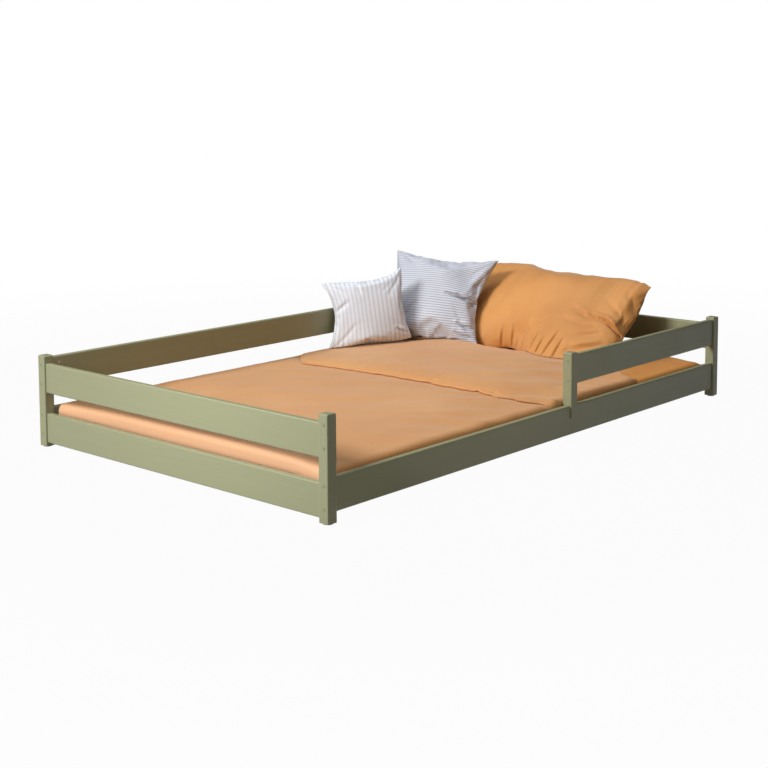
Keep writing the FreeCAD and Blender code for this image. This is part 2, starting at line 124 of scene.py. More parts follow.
def node(tree, kind, links=None, **settings):
    """Adds a node. Settings name its properties or, with in_, its inputs' values."""
    made = tree.nodes.new(kind)
    for key, value in settings.items():
        if key.startswith("in_"):
            made.inputs[int(key[3:]) if key[3:].isdigit() else key[3:].replace("_", " ")] \
                .default_value = value
        else:
            setattr(made, key, value)
    for socket, source in (links or {}).items():
        tree.links.new(source, made.inputs[socket])
    return made


def ramp(tree, source, stops):
    made = node(tree, "ShaderNodeValToRGB", {"Fac": source})
    while len(made.color_ramp.elements) < len(stops):
        made.color_ramp.elements.new(0.5)
    for element, (place, colour) in zip(made.color_ramp.elements, stops):
        element.position = place
        element.color = colour
    return made.outputs["Color"]


def object_space(tree, scale):
    place = node(tree, "ShaderNodeTexCoord")
    return node(tree, "ShaderNodeMapping", {"Vector": place.outputs["Object"]},
                in_Scale=scale).outputs[0]


def relief(tree, surface, height, depth, strength=1.0, base=None):
    links = {"Height": height}
    if base is not None:
        links["Normal"] = base
    made = node(tree, "ShaderNodeBump", links, in_Distance=depth, in_Strength=strength)
    tree.links.new(made.outputs[0], surface.inputs["Normal"])
    return made.outputs[0]


def green_lacquer(name, along):
    """Satin water-based lacquer on planed pine: an even sage green, a soft sheen, and the
    pine's grain just felt through the coat along each bar."""
    made, tree, surface = material(name)
    grain_length, grain_width = 1 / (180 * MM), 1 / (2.2 * MM)
    scale = [grain_width] * 3
    scale[along] = grain_length
    grain = node(tree, "ShaderNodeTexNoise", {"Vector": object_space(tree, scale)},
                 in_Scale=1.0, in_Detail=4.0, in_Roughness=0.6)
    cloud = node(tree, "ShaderNodeTexNoise",
                 {"Vector": object_space(tree, (1 / (160 * MM),) * 3)},
                 in_Scale=1.0, in_Detail=3.0)
    mixed = node(tree, "ShaderNodeMix", {"Factor": cloud.outputs["Fac"],
                                         "A": grain.outputs["Fac"]},
                 data_type="FLOAT")
    mixed.inputs["B"].default_value = 0.5
    colour = ramp(tree, mixed.outputs[0],
                  [(0.30, linear("8B8D6D")), (0.52, linear("909273")), (0.75, linear("969879"))])
    tree.links.new(colour, surface.inputs["Base Color"])
    gloss = node(tree, "ShaderNodeMapRange", {"Value": cloud.outputs["Fac"]},
                 in_3=0.36, in_4=0.5)
    tree.links.new(gloss.outputs[0], surface.inputs["Roughness"])
    spray = node(tree, "ShaderNodeTexNoise",
                 {"Vector": object_space(tree, (1 / (1.6 * MM),) * 3)}, in_Scale=1.0)
    first = relief(tree, surface, spray.outputs["Fac"], 0.05 * MM, 0.35)
    relief(tree, surface, grain.outputs["Fac"], 0.12 * MM, 0.3, first)
    return made


def planed_pine(name, along):
    """Unpainted planed pine: pale yellow with darker growth rings drawn out along the bar."""
    made, tree, surface = material(name)
    scale = [1 / (9 * MM)] * 3
    scale[along] = 1 / (400 * MM)
    rings = node(tree, "ShaderNodeTexNoise", {"Vector": object_space(tree, scale)},
                 in_Scale=1.0, in_Detail=5.0, in_Roughness=0.55, in_Distortion=0.6)
    colour = ramp(tree, rings.outputs["Fac"],
                  [(0.32, linear("C9A06B")), (0.47, linear("DDBE8E")), (0.62, linear("E8D0A4"))])
    tree.links.new(colour, surface.inputs["Base Color"])
    surface.inputs["Roughness"].default_value = 0.6
    relief(tree, surface, rings.outputs["Fac"], 0.25 * MM, 0.5)
    return made


def zinc_plate(name):
    """Zinc-plated steel: pale, a little blue, with a fine spangle in the gloss."""
    made, tree, surface = material(name)
    spangle = node(tree, "ShaderNodeTexVoronoi",
                   {"Vector": object_space(tree, (1 / (1.5 * MM),) * 3)}, in_Scale=1.0)
    colour = ramp(tree, spangle.outputs["Distance"],
                  [(0.1, linear("B4B8BC")), (0.8, linear("CDD0D2"))])
    tree.links.new(colour, surface.inputs["Base Color"])
    gloss = node(tree, "ShaderNodeMapRange", {"Value": spangle.outputs["Distance"]},
                 in_3=0.28, in_4=0.42)
    tree.links.new(gloss.outputs[0], surface.inputs["Roughness"])
    surface.inputs["Metallic"].default_value = 1.0
    return made


def moulded_plastic(name, dark, light, roughness):
    """Moulded polypropylene with a fine sparked texture."""
    made, tree, surface = material(name)
    spark = node(tree, "ShaderNodeTexNoise",
                 {"Vector": object_space(tree, (1 / (0.6 * MM),) * 3)}, in_Scale=1.0)
    colour = ramp(tree, spark.outputs["Fac"], [(0.3, linear(dark)), (0.7, linear(light))])
    tree.links.new(colour, surface.inputs["Base Color"])
    surface.inputs["Roughness"].default_value = roughness
    relief(tree, surface, spark.outputs["Fac"], 0.04 * MM, 0.6)
    return made


def weave_height(tree, vector, pitch):
    """Crossing warp and weft threads of a plain weave, as a height from 0 to 1."""
    scaled = node(tree, "ShaderNodeMapping", {"Vector": vector}, in_Scale=(1 / pitch,) * 3)
    axes = node(tree, "ShaderNodeSeparateXYZ", {"Vector": scaled.outputs[0]})
    waves = []
    for axis in (0, 1):
        turn = node(tree, "ShaderNodeMath", {0: axes.outputs[axis]},
                    operation="MULTIPLY", in_1=2 * math.pi)
        waves.append(node(tree, "ShaderNodeMath", {0: turn.outputs[0]}, operation="SINE"))
    both = node(tree, "ShaderNodeMath", {0: waves[0].outputs[0], 1: waves[1].outputs[0]},
                operation="MULTIPLY")
    return both.outputs[0]


def cotton(name, deep, plain, pale, stripe=None, across=0, pitch=0.0, line_share=0.0,
           sheen=0.3, painted_end_highlight=None):
    """Plain-woven cotton: a soft mat surface, threads drawn at 1.2 mm so that they show,
    and where asked a woven stripe that follows the cloth's own UV map."""
    made, tree, surface = material(name)
    flat = node(tree, "ShaderNodeUVMap", uv_map="cloth").outputs[0]
    slub = node(tree, "ShaderNodeTexNoise",
                {"Vector": node(tree, "ShaderNodeMapping", {"Vector": flat},
                                in_Scale=(1 / (40 * MM), 1 / (3 * MM), 1.0)).outputs[0]},
                in_Scale=1.0, in_Detail=3.0)
    cloud = node(tree, "ShaderNodeTexNoise",
                 {"Vector": object_space(tree, (1 / (220 * MM),) * 3)},
                 in_Scale=1.0, in_Detail=2.0)
    tone = node(tree, "ShaderNodeMix", {"A": slub.outputs["Fac"], "B": cloud.outputs["Fac"]},
                data_type="FLOAT", in_0=0.8)
    colour = ramp(tree, tone.outputs[0],
                  [(0.30, linear(deep)), (0.50, linear(plain)), (0.72, linear(pale))])
    if stripe:
        axes = node(tree, "ShaderNodeSeparateXYZ", {"Vector": flat})
        turns = node(tree, "ShaderNodeMath", {0: axes.outputs[across]},
                     operation="DIVIDE", in_1=pitch)
        within = node(tree, "ShaderNodeMath", {0: turns.outputs[0]}, operation="FRACT")
        centred = node(tree, "ShaderNodeMath", {0: within.outputs[0]},
                       operation="SUBTRACT", in_1=0.5)
        away = node(tree, "ShaderNodeMath", {0: centred.outputs[0]}, operation="ABSOLUTE")
        edge = 0.07
        line = node(tree, "ShaderNodeMapRange", {"Value": away.outputs[0]},
                    in_1=line_share / 2 - edge, in_2=line_share / 2 + edge, in_3=1.0, in_4=0.0)
        mixed = node(tree, "ShaderNodeMix", {"Factor": line.outputs[0]}, data_type="RGBA")
        tree.links.new(colour, mixed.inputs["A"])
        mixed.inputs["B"].default_value = linear(stripe)
        colour = mixed.outputs["Result"]
    # Painted highlight: past the given flat x the colour is mixed towards a paler one, in place
    # of the strong light that falls on the cloth's foot-facing end.
    if painted_end_highlight:
        axes = node(tree, "ShaderNodeSeparateXYZ", {"Vector": flat})
        reach = node(tree, "ShaderNodeMapRange", {"Value": axes.outputs["X"]},
                     in_1=painted_end_highlight[1], in_2=painted_end_highlight[0], in_3=1.0, in_4=0.0)
        mixed = node(tree, "ShaderNodeMix", {"Factor": reach.outputs[0]}, data_type="RGBA")
        tree.links.new(colour, mixed.inputs["A"])
        mixed.inputs["B"].default_value = linear(painted_end_highlight[2])
        colour = mixed.outputs["Result"]
    tree.links.new(colour, surface.inputs["Base Color"])
    surface.inputs["Roughness"].default_value = 0.62
    surface.inputs["Sheen Weight"].default_value = sheen
    surface.inputs["Sheen Roughness"].default_value = 0.4
    weave = weave_height(tree, flat, 1.2 * MM)
    first = relief(tree, surface, weave, 0.08 * MM, 0.5)
    relief(tree, surface, slub.outputs["Fac"], 0.15 * MM, 0.4, first)
    return made


def knitted_cover(name):
    """Quilted knit of the mattress: off-white, with a soft small diamond relief."""
    made, tree, surface = material(name)
    cells = node(tree, "ShaderNodeTexVoronoi",
                 {"Vector": object_space(tree, (1 / (12 * MM),) * 3)}, in_Scale=1.0)
    colour = ramp(tree, cells.outputs["Distance"],
                  [(0.0, linear("DDD9CF")), (0.7, linear("EFECE4"))])
    tree.links.new(colour, surface.inputs["Base Color"])
    surface.inputs["Roughness"].default_value = 0.9
    relief(tree, surface, cells.outputs["Distance"], 0.8 * MM, 0.6)
    return made


def webbing_tape(name):
    """Woven polyester tape with ribs across it."""
    made, tree, surface = material(name)
    ribs = node(tree, "ShaderNodeTexWave",
                {"Vector": object_space(tree, (1 / (2 * MM),) * 3)}, in_Scale=1 / 6.28)
    colour = ramp(tree, ribs.outputs["Fac"], [(0.2, linear("D5CFC0")), (0.8, linear("EAE5D8"))])
    tree.links.new(colour, surface.inputs["Base Color"])
    surface.inputs["Roughness"].default_value = 0.85
    relief(tree, surface, ribs.outputs["Fac"], 0.3 * MM, 0.6)
    return made


X_AXIS, Y_AXIS, Z_AXIS = 0, 1, 2
lacquer = {axis: green_lacquer("sage_lacquer_" + "xyz"[axis], axis) for axis in range(3)}
pine = {axis: planed_pine("planed_pine_" + "xyz"[axis], axis) for axis in range(3)}
zinc = zinc_plate("zinc_plated_steel")
cap_plastic = moulded_plastic("cap_polypropylene", "7C8363", "878E6C", 0.45)
glide_plastic = moulded_plastic("glide_felted_plastic", "2C2A26", "3E3B35", 0.8)
tape = webbing_tape("woven_tape")
mattress_knit = knitted_cover("mattress_knit")
sheet_cotton = cotton("ochre_sheet_cotton", "BE7A2E", "CA8636", "D09044", sheen=0.12)
# The duvet's foot-end drop gets a painted highlight: a paler colour for the light that falls on
# it from the foot.
duvet_cotton = cotton("ochre_duvet_cotton", "C58A50", "CA9056", "D0985E",
                      painted_end_highlight=(-0.965, -1.0, "D2A27C"))
pillow_cotton = cotton("ochre_pillow_cotton", "BA7D3E", "C68948", "CE9353")
blue_stripes = cotton("blue_striped_cotton", "BFC4D2", "C9CEDB", "D3D7E2",
                      stripe="979AA8", across=1, pitch=9 * MM, line_share=0.36, sheen=0.2)
white_stripes = cotton("white_striped_cotton", "D3D9E6", "DBE1EC", "E3E8F2",
                       stripe="C4C8D3", across=0, pitch=18 * MM, line_share=0.32, sheen=0.2)


def dress_cad_nodes():
    """Gives every rigid node the finish of the real piece."""
    for name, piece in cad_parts.items():
        if name.startswith("post"):
            finish = lacquer[Z_AXIS]
        elif name.endswith("board"):
            finish = lacquer[Y_AXIS]
        elif name.endswith("rail"):
            finish = lacquer[X_AXIS]
        elif name.startswith("slat_webbing"):
            finish = tape
        elif name.startswith(("slat_screws", "ledger_screws", "lap_screws", "bracket_screws",
                              "connecting", "barrel", "beam_brackets")):
            finish = zinc
        elif name.startswith("slat_"):
            finish = pine[Y_AXIS]
        elif name.startswith(("ledger", "centre_beam")):
            finish = pine[X_AXIS]
        elif name == "board_dowels":
            finish = pine[Y_AXIS]
        elif name == "beam_feet":
            finish = pine[Z_AXIS]
        elif name == "bolt_caps":
            finish = cap_plastic
        elif name == "floor_glides":
            finish = glide_plastic
        else:
            finish = mattress_knit
        piece.data.materials.clear()
        piece.data.materials.append(finish)


# ---- draped cloth: a grid that lies on the mattress and falls over its edges ----
def fall(distance, radius):
    """How far cloth runs out and down after it passes a rounded edge."""
    turn = min(distance / radius, math.pi / 2)
    rest = max(distance - radius * math.pi / 2, 0.0)
    return radius * math.sin(turn), radius * (1 - math.cos(turn)) + rest


entry_side_sag, far_side_sag = 8 * MM, 2 * MM
sag_starts, sag_ends = 0.45, 0.585     # distance from the middle line of the bed


def edge_sag(y):
    """The top of the foam is a little lower along its long sides, most at the entry."""
    return entry_side_sag * smooth(sag_starts, sag_ends, -y) \
        + far_side_sag * smooth(sag_starts, sag_ends, y)


def past_the_top(place, flat_half):
    """How far a flat cloth point lies past the flat top, along x and along y."""
    return Vector((max(abs(place.x) - flat_half.x, 0.0), max(abs(place.y) - flat_half.y, 0.0)))


def lie_on(place, flat_half, radius, top):
    """The point and the outward normal where a flat cloth point comes to lie."""
    top -= edge_sag(place.y)
    over = past_the_top(place, flat_half)
    over.x *= 1 if place.x > 0 else -1
    over.y *= 1 if place.y > 0 else -1
    distance = over.length
    if distance < 1e-9:
        return Vector((place.x, place.y, top)), Vector((0, 0, 1))
    out, down = fall(distance, radius)
    way = over / distance
    turn = min(distance / radius, math.pi / 2)
    point = Vector((place.x - over.x + way.x * out, place.y - over.y + way.y * out, top - down))
    normal = Vector((way.x * math.sin(turn), way.y * math.sin(turn), math.cos(turn)))
    return point, normal


def cloth_grid(low, high, cell, crowd=1.0):
    """Flat grid between two corners, with a UV map in metres that follows the cloth.
    A crowd above 1 sets the rows closer together at the low x side."""
    size = high - low
    bm = bmesh.new()
    bmesh.ops.create_grid(bm, x_segments=max(2, round(size.x / cell)),
                          y_segments=max(2, round(size.y / cell)), size=0.5)
    layer = bm.loops.layers.uv.new("cloth")
    for vert in bm.verts:
        across = max(vert.co.x + 0.5, 0.0) ** crowd
        vert.co = Vector((low.x + across * size.x, low.y + (vert.co.y + 0.5) * size.y, 0))
    for face in bm.faces:
        for loop in face.loops:
            loop[layer].uv = loop.vert.co.xy
    return bm


def close_pad(bm, thickness, place, underside=lambda flat: 0.0):
    """Turns a flat grid into a closed pad: place(flat, height) says where its faces lie,
    thickness(flat) how far they are apart and underside(flat) how high the lower one is."""
    rim = [edge for edge in bm.edges if edge.is_boundary]
    flat = {vert: vert.co.copy() for vert in bm.verts}
    upper = list(bm.faces)
    copied = bmesh.ops.duplicate(bm, geom=list(bm.verts) + list(bm.edges) + upper)
    lower_of = {old: new for old, new in copied["vert_map"].items() if old in flat}
    lower_faces = [item for item in copied["geom"] if isinstance(item, bmesh.types.BMFace)]
    bmesh.ops.reverse_faces(bm, faces=lower_faces)
    lower_rim = [item for item in copied["geom"]
                 if isinstance(item, bmesh.types.BMEdge) and item.is_boundary]
    for vert, low_vert in lower_of.items():
        spot = flat[vert]
        vert.co = place(spot, underside(spot) + thickness(spot))
        low_vert.co = place(spot, underside(spot))
    bmesh.ops.bridge_loops(bm, edges=rim + lower_rim)
    bmesh.ops.recalc_face_normals(bm, faces=bm.faces)
    return bm


# ---- mattress and fitted sheet ----
sheet_edge = 16 * MM                  # radius where the sheet turns over the mattress
sheet_wall = 1.2 * MM
sheet_dip = -0.2 * MM                 # the most by which a wrinkle may sink into the foam
foam_corner = 45 * MM                 # radius of the upright corners, seen from above
foam_under_edge = 8 * MM
foam_sag_cuts = (-0.54, -0.515, -0.49, -0.45, 0.45, 0.49, 0.515, 0.54)
sheet_flat_half = sheet_half - Vector((sheet_edge, sheet_edge))


def mattress_piece():
    """Foam block in its knitted cover. It is cut along its length near the long sides, inside
    the rounded corners, so that its top can sag there."""
    bm = bmesh.new()
    bmesh.ops.create_cube(bm, size=1.0)
    size = mattress_high - mattress_low
    middle = (mattress_high + mattress_low) / 2
    for vert in bm.verts:
        vert.co = Vector((vert.co.x * size.x, vert.co.y * size.y, vert.co.z * size.z))
    for cut in foam_sag_cuts:
        bmesh.ops.bisect_plane(bm, geom=list(bm.verts) + list(bm.edges) + list(bm.faces),
                               plane_co=(0, cut, 0), plane_no=(0, 1, 0))
    upright = [edge for edge in bm.edges
               if abs(edge.verts[0].co.z - edge.verts[1].co.z) > size.z / 2
               and edge.calc_face_angle() > 0.5]
    bmesh.ops.bevel(bm, geom=upright, offset=foam_corner, affect="EDGES", segments=6,
                    profile=0.5, material=-1)
    for side, radius in ((1, sheet_edge), (-1, foam_under_edge)):
        ends = [edge for edge in bm.edges if len(edge.link_faces) == 2
                and all(vert.co.z * side > size.z / 2 - 1e-6 for vert in edge.verts)
                and edge.calc_face_angle() > 0.5]
        bmesh.ops.bevel(bm, geom=ends, offset=radius, affect="EDGES", segments=4,
                        profile=0.5, material=-1)
    for vert in bm.verts:
        vert.co.z -= edge_sag(vert.co.y) * smooth(0.0, 0.24, vert.co.z / size.z)
        vert.co += middle
    piece = mesh_object("mattress_foam_block", bm)
    piece.data.materials.append(mattress_knit)
    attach(piece, "mattress_body")
    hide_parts("mattress")


def sheet_wrinkle(x, y):
    """Fine slack of a fitted sheet, with more of it towards the head corners."""
    slack = 0.9 * MM + 1.6 * MM * smooth(0.55, 0.95, x)
    return slack * (cloth_noise(x, y * 1.6, 0.11, 3) + 0.5 * cloth_noise(x * 1.5, y, 0.045, 4))


def fitted_sheet_piece():
    """One sheet pulled over the block, with its hem cut round at the four corners."""
    reach = sheet_edge * math.pi / 2 + (sheet_top - mattress_low.z - sheet_edge)
    half = sheet_flat_half + Vector((reach, reach))
    bm = cloth_grid(-half, half, 14 * MM)
    over = {vert: past_the_top(vert.co, sheet_flat_half) for vert in bm.verts}
    spare = [face for face in bm.faces if min(over[vert].length for vert in face.verts) > reach]
    bmesh.ops.delete(bm, geom=spare, context="FACES")
    for vert in bm.verts:
        if over[vert].length > reach:
            hem = over[vert].normalized() * reach
            vert.co.x = math.copysign(min(abs(vert.co.x), sheet_flat_half.x) + hem.x, vert.co.x)
            vert.co.y = math.copysign(min(abs(vert.co.y), sheet_flat_half.y) + hem.y, vert.co.y)
    for vert in bm.verts:
        flat = vert.co.copy()
        point, normal = lie_on(flat, sheet_flat_half, sheet_edge, sheet_top)
        wave = max(sheet_wrinkle(flat.x, flat.y), sheet_dip)
        vert.co = point + normal * (wave * smooth(0.5, 0.95, normal.z))
    piece = mesh_object("fitted_sheet_cloth", bm)
    piece.data.materials.append(sheet_cotton)
    modifier(piece, "SOLIDIFY", thickness=sheet_wall, offset=-1.0)
    apply_modifiers(piece)
    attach(piece, "mattress_body")
    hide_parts("fitted_sheet")


# ---- duvet: the layer that covers the bed and the part turned back over it ----
duvet_gap = 1.2 * MM                  # over the sheet
under_edge = sheet_edge + duvet_gap
layer_gap = 0.4 * MM                  # between the main layer and the part turned over it
foot_drop = 36 * MM                   # how far the sides and the foot end hang down
turn_lip_x = duvet_low.x + 0.952      # free edge of the turned-back part
hem_pinches = (-0.505, -0.415, -0.36, -0.16, 0.06, 0.19)
guard_post_x = 0.0975                 # the duvet keeps clear of the guard post here
head_x = duvet_high.x


def near_bend(y):
    """How far the free edge swings towards the head where it goes down the two sides, with
    the small waves and pinches of its hem."""
    swing = 0.075 * smooth(-0.50, -0.62, y) + 0.14 * smooth(0.42, 0.62, y)
    wave = 3.0 * MM * cloth_noise(y, 0.2, 0.060, 15) + 1.6 * MM * cloth_noise(y, 0.4, 0.018, 16)
    pinch = sum(bump(y, middle, 6 * MM) for middle in hem_pinches)
    return swing + wave * smooth(0.60, 0.55, abs(y)) + 6 * MM * pinch


def lip_at(y):
    """Where the free edge lies, by its distance from the middle line of the bed."""
    return turn_lip_x + near_bend(y)


def pillow_dent(x, y):
    """Where the pillow's weight presses the duvet down, from 0 to 1."""
    return smooth(0.40, 0.58, x) * smooth(0.24, 0.02, y) * smooth(-0.50, -0.32, y)


def head_bend(x, y):
    """The head edge lies further from the head beside the entry side."""
    return -0.075 * smooth(-0.38, -0.60, y) * smooth(0.1, 0.6, x)


def duvet_wrinkle(x, y):
    """Long soft folds: most run slantwise from the guard post towards the far foot corner."""
    slant = x * 0.72 + y * 0.69
    calm = smooth(-1.0, -0.55, x)
    fold = 3.4 * MM * cloth_noise(slant, (x * 0.69 - y * 0.72) * 0.33, 0.085, 11) * calm
    near = smooth(-0.1, -0.45, y) * smooth(-0.75, -0.25, x)
    drag = 5.5 * MM * near * cloth_noise(slant, (x - y) * 0.2, 0.05, 12)
    broad = 3.2 * MM * cloth_noise(x, y, 0.34, 13)
    fine = 0.5 * MM * cloth_noise(x, y, 0.03, 14)
    return fold + drag + broad + fine


def pucker(distance, along, seed):
    """Small gathers square to a seam, which die away from it."""
    wave = cloth_noise(along, distance * 0.25, 0.017, seed) \
        + 0.6 * cloth_noise(along, distance * 0.25, 0.009, seed + 1)
    return 2.2 * MM * math.exp(-abs(distance) / (26 * MM)) * wave


def layer_thickness(flat):
    """The main layer: a full middle, thinner towards the sides and flat under the lip."""
    side = abs(flat.y)
    body = 7 * MM + 15 * MM * (1 - smooth(0.25, 0.64, side) * 0.85)
    body -= 4 * MM * smooth(0.15, 0.40, flat.y) + 5 * MM * pillow_dent(flat.x, flat.y)
    lip = lip_at(flat.y)
    body -= 6 * MM * bump(flat.x, lip - 3 * MM, 20 * MM)
    body += duvet_wrinkle(flat.x, flat.y) * (1 - 0.8 * smooth(0.56, 0.62, side))
    body += 0.8 * pucker(flat.x - lip, flat.y, 21) * smooth(0.62, 0.5, side)
    edge = min(duvet_half_flat.y - side, flat.x - duvet_flat_low_x, duvet_flat_high_x - flat.x)
    round_share = math.sqrt(max(1 - (1 - min(edge / (9 * MM), 1)) ** 2, 0.0))
    return max(body, 3.2 * MM) * max(round_share, 0.02)


duvet_reach = under_edge * math.pi / 2 + foot_drop - under_edge
duvet_half_flat = sheet_flat_half + Vector((duvet_reach, duvet_reach))
duvet_flat_low_x = -duvet_half_flat.x
duvet_flat_high_x = head_x - 12 * MM


def on_sheet(flat, height):
    """Over the sheet and down its sides, plump along the entry side but not at the post."""
    point, normal = lie_on(flat, sheet_flat_half, under_edge, sheet_top + duvet_gap)
    sideways = normal.y ** 2 / max(1 - normal.z ** 2, 1e-9) if flat.y < 0 else 0.0
    at_post = bump(flat.x, guard_post_x, 42 * MM) if flat.y < 0 else 0.0
    clear = 1 - min(1.4 * at_post, 1.0)
    room = 5.5 * MM + 8 * MM * sideways * clear
    plump = 6 * MM * sideways * clear * (1 - abs(2 * normal.z ** 2 - 1))
    down = smooth(0.95, 0.2, normal.z)
    lift = height + ((room if sideways > 0.5 else min(height, room)) - height) * down
    lift = (lift + plump) * min(height / (4 * MM), 1.0)
    point.x += head_bend(flat.x, flat.y)
    return point + normal * lift


def duvet_layer():
    """The main layer, from the foot end up to the head."""
    bm = cloth_grid(Vector((duvet_flat_low_x, -duvet_half_flat.y)),
                    Vector((duvet_flat_high_x, duvet_half_flat.y)), 9 * MM)
    close_pad(bm, layer_thickness, on_sheet)
    piece = mesh_object("duvet_main_layer", bm)
    piece.data.materials.append(duvet_cotton)
    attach(piece, "duvet_body")
    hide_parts("duvet")


turned_half_y = duvet_half_flat.y - 6 * MM
turned_flat_high_x = head_x + 22 * MM
turned_top_share = 0.93               # what lies on top; the rest goes down at the head


def turned_thickness(flat):
    """The turned-back part: a round lip at its hem, and a roll where it folds at the head."""
    side = abs(flat.y)
    body = 5 * MM + 14 * MM * (1 - smooth(0.30, 0.62, side) * 0.80)
    body -= 6 * MM * smooth(0.12, 0.32, flat.y) + 8 * MM * pillow_dent(flat.x, flat.y)
    from_lip = flat.x - lip_at(flat.y)
    body *= 0.45 + 0.55 * smooth(0.0, 110 * MM, from_lip)
    hem = 1.4 * MM * bump(from_lip, 16 * MM, 5 * MM)
    gather = pucker(from_lip, flat.y, 31)
    corner = smooth(-0.42, -0.60, flat.y) * bump(from_lip, 60 * MM, 70 * MM)
    bunch = 4.0 * MM * corner * cloth_noise(flat.x * 1.4, flat.y * 0.5, 0.035, 33)
    body += 0.8 * duvet_wrinkle(flat.x * 0.9 + 3.1, flat.y) - hem + gather + bunch
    return max(body, 3 * MM) * max(edge_round(flat, from_lip), 0.02)


def edge_round(flat, from_lip):
    """0 at the free edges of the turned-back part and 1 where it has its full thickness."""
    edge = min(turned_half_y - abs(flat.y), from_lip)
    return math.sqrt(max(1 - (1 - min(max(edge, 0) / (11 * MM), 1)) ** 2, 0.0))


def on_layer(flat, height):
    """Over the main layer, and down round its head edge."""
    lip = lip_at(flat.y)
    start = head_x - 30 * MM - turn_lip_x
    share = (flat.x - turn_lip_x) / (turned_flat_high_x - turn_lip_x)
    x = lip + (start + turn_lip_x - lip) * min(share / turned_top_share, 1.0)
    base = Vector((x, flat.y, 0))
    under = layer_thickness(base) + layer_gap
    point = on_sheet(base, under + height)
    past = max(share - turned_top_share, 0.0) / (1 - turned_top_share)
    if past > 0:
        radius = point.z - sheet_top - 3 * MM
        turn = past * math.pi * 0.5
        point = point + Vector((math.sin(turn) * 28 * MM, 0, -(1 - math.cos(turn)) * radius))
    return point


def turned_layer():
    """The head end of the duvet, folded back over the main layer."""
    bm = cloth_grid(Vector((turn_lip_x, -turned_half_y)),
                    Vector((turned_flat_high_x, turned_half_y)), 7 * MM, crowd=1.5)

    def settled(flat):
        lip = lip_at(flat.y)
        share = (flat.x - turn_lip_x) / (turned_flat_high_x - turn_lip_x)
        return Vector((lip + share * (turned_flat_high_x - lip), flat.y, 0))

    def underside(flat):
        spot = settled(flat)
        raised = 1 - edge_round(spot, spot.x - lip_at(spot.y))
        return 5 * MM * raised * smooth(0.60, 0.56, abs(flat.y))

    close_pad(bm, lambda flat: turned_thickness(settled(flat)), on_layer, underside)
    piece = mesh_object("duvet_turned_back", bm)
    piece.data.materials.append(duvet_cotton)
    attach(piece, "duvet_body")
    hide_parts("duvet")


# ---- sewn cushions: two flat cuts joined at their edges and blown up as cloth ----
def sewn_envelope(half_x, half_y, cell, start_height):
    """Two layers of cloth joined at the rim, a little apart so that pressure can fill them."""
    bm = cloth_grid(Vector((-half_x, -half_y)), Vector((half_x, half_y)), cell)

    def gap(flat):
        share_x = 1 - (flat.x / half_x) ** 2
        share_y = 1 - (flat.y / half_y) ** 2
        return start_height * math.sqrt(max(share_x * share_y, 0.0))

    def place(flat, height):
        grain = 0.6 * MM * cloth_noise(flat.x, flat.y, 0.02, half_x * 50)
        return Vector((flat.x, flat.y, height / 2 + grain))

    rim = [vert for vert in bm.verts if vert.is_boundary]
    flat = {vert: vert.co.copy() for vert in bm.verts}
    copied = bmesh.ops.duplicate(bm, geom=list(bm.verts) + list(bm.edges) + list(bm.faces))
    lower = {old: new for old, new in copied["vert_map"].items() if old in flat}
    bmesh.ops.reverse_faces(bm, faces=[item for item in copied["geom"]
                                       if isinstance(item, bmesh.types.BMFace)])
    for vert, low_vert in lower.items():
        vert.co = place(flat[vert], gap(flat[vert]))
        low_vert.co = place(flat[vert], -gap(flat[vert]))
    bmesh.ops.weld_verts(bm, targetmap={lower[vert]: vert for vert in rim})
    bm.verts.index_update()
    return bm, [vert.index for vert in rim]


def blow_up(piece, pressure, frames):
    """Runs the cloth under inner pressure with no gravity and keeps the last frame."""
    cloth = modifier(piece, "CLOTH")
    settings = cloth.settings
    settings.quality = 6
    settings.mass = 0.25
    settings.tension_stiffness = 30.0
    settings.compression_stiffness = 30.0
    settings.shear_stiffness = 12.0
    settings.bending_stiffness = 0.6
    settings.use_pressure = True
    settings.uniform_pressure_force = pressure
    settings.effector_weights.gravity = 0.0
    cloth.collision_settings.use_collision = False
    cloth.point_cache.frame_start = 1
    cloth.point_cache.frame_end = frames
    scene = bpy.context.scene
    for step in range(1, frames + 1):
        scene.frame_set(step)
    apply_modifiers(piece)
    scene.frame_set(1)


def fit_to(piece, rim, size, pull):
    """Scales a filled cushion to its real size. pull holds, for the left, right, lower and
    upper side, the share of the half size by which the seam draws in between the tips."""
    points = piece.data.vertices
    low = Vector([min(vert.co[i] for vert in points) for i in range(3)])
    high = Vector([max(vert.co[i] for vert in points) for i in range(3)])
    middle = (low + high) / 2
    half = (high - low) / 2
    drawn = []
    for axis, other in ((0, 1), (1, 0)):
        reach = [abs(points[i].co[axis] - middle[axis]) / half[axis] for i in rim
                 if abs(points[i].co[other] - middle[other]) < 0.12 * half[other]]
        drawn.append(1 - sum(reach) / len(reach))
    for vert in points:
        away = vert.co - middle
        share = [1 - min(abs(away[i]) / half[i], 1.0) ** 2 for i in range(2)]
        for axis, other in ((0, 1), (1, 0)):
            wanted = pull[2 * axis + (1 if away[axis] > 0 else 0)]
            away[axis] *= (1 - wanted * share[other]) / (1 - drawn[axis] * share[other])
        vert.co = Vector([away[i] * size[i] / 2 / half[i] for i in range(3)])


def calm(piece, above, times):
    """Smooths the cloth above that share of the half height."""
    top = max(vert.co.y for vert in piece.data.vertices)
    bm = bmesh.new()
    bm.from_mesh(piece.data)
    verts = [vert for vert in bm.verts if vert.co.y > above * top]
    for step in range(times):
        bmesh.ops.smooth_vert(bm, verts=verts, factor=0.5, use_axis_x=False,
                              use_axis_y=True, use_axis_z=True)
    bm.to_mesh(piece.data)
    bm.free()


def draw_out(piece, size, corner, by, reach=110 * MM):
    """Pulls one corner tip further out, with the cloth near it following."""
    tip = Vector((corner[0] * size[0] / 2, corner[1] * size[1] / 2))
    for vert in piece.data.vertices:
        share = math.exp(-((vert.co.xy - tip).length / reach) ** 2)
        vert.co += Vector(by) * share


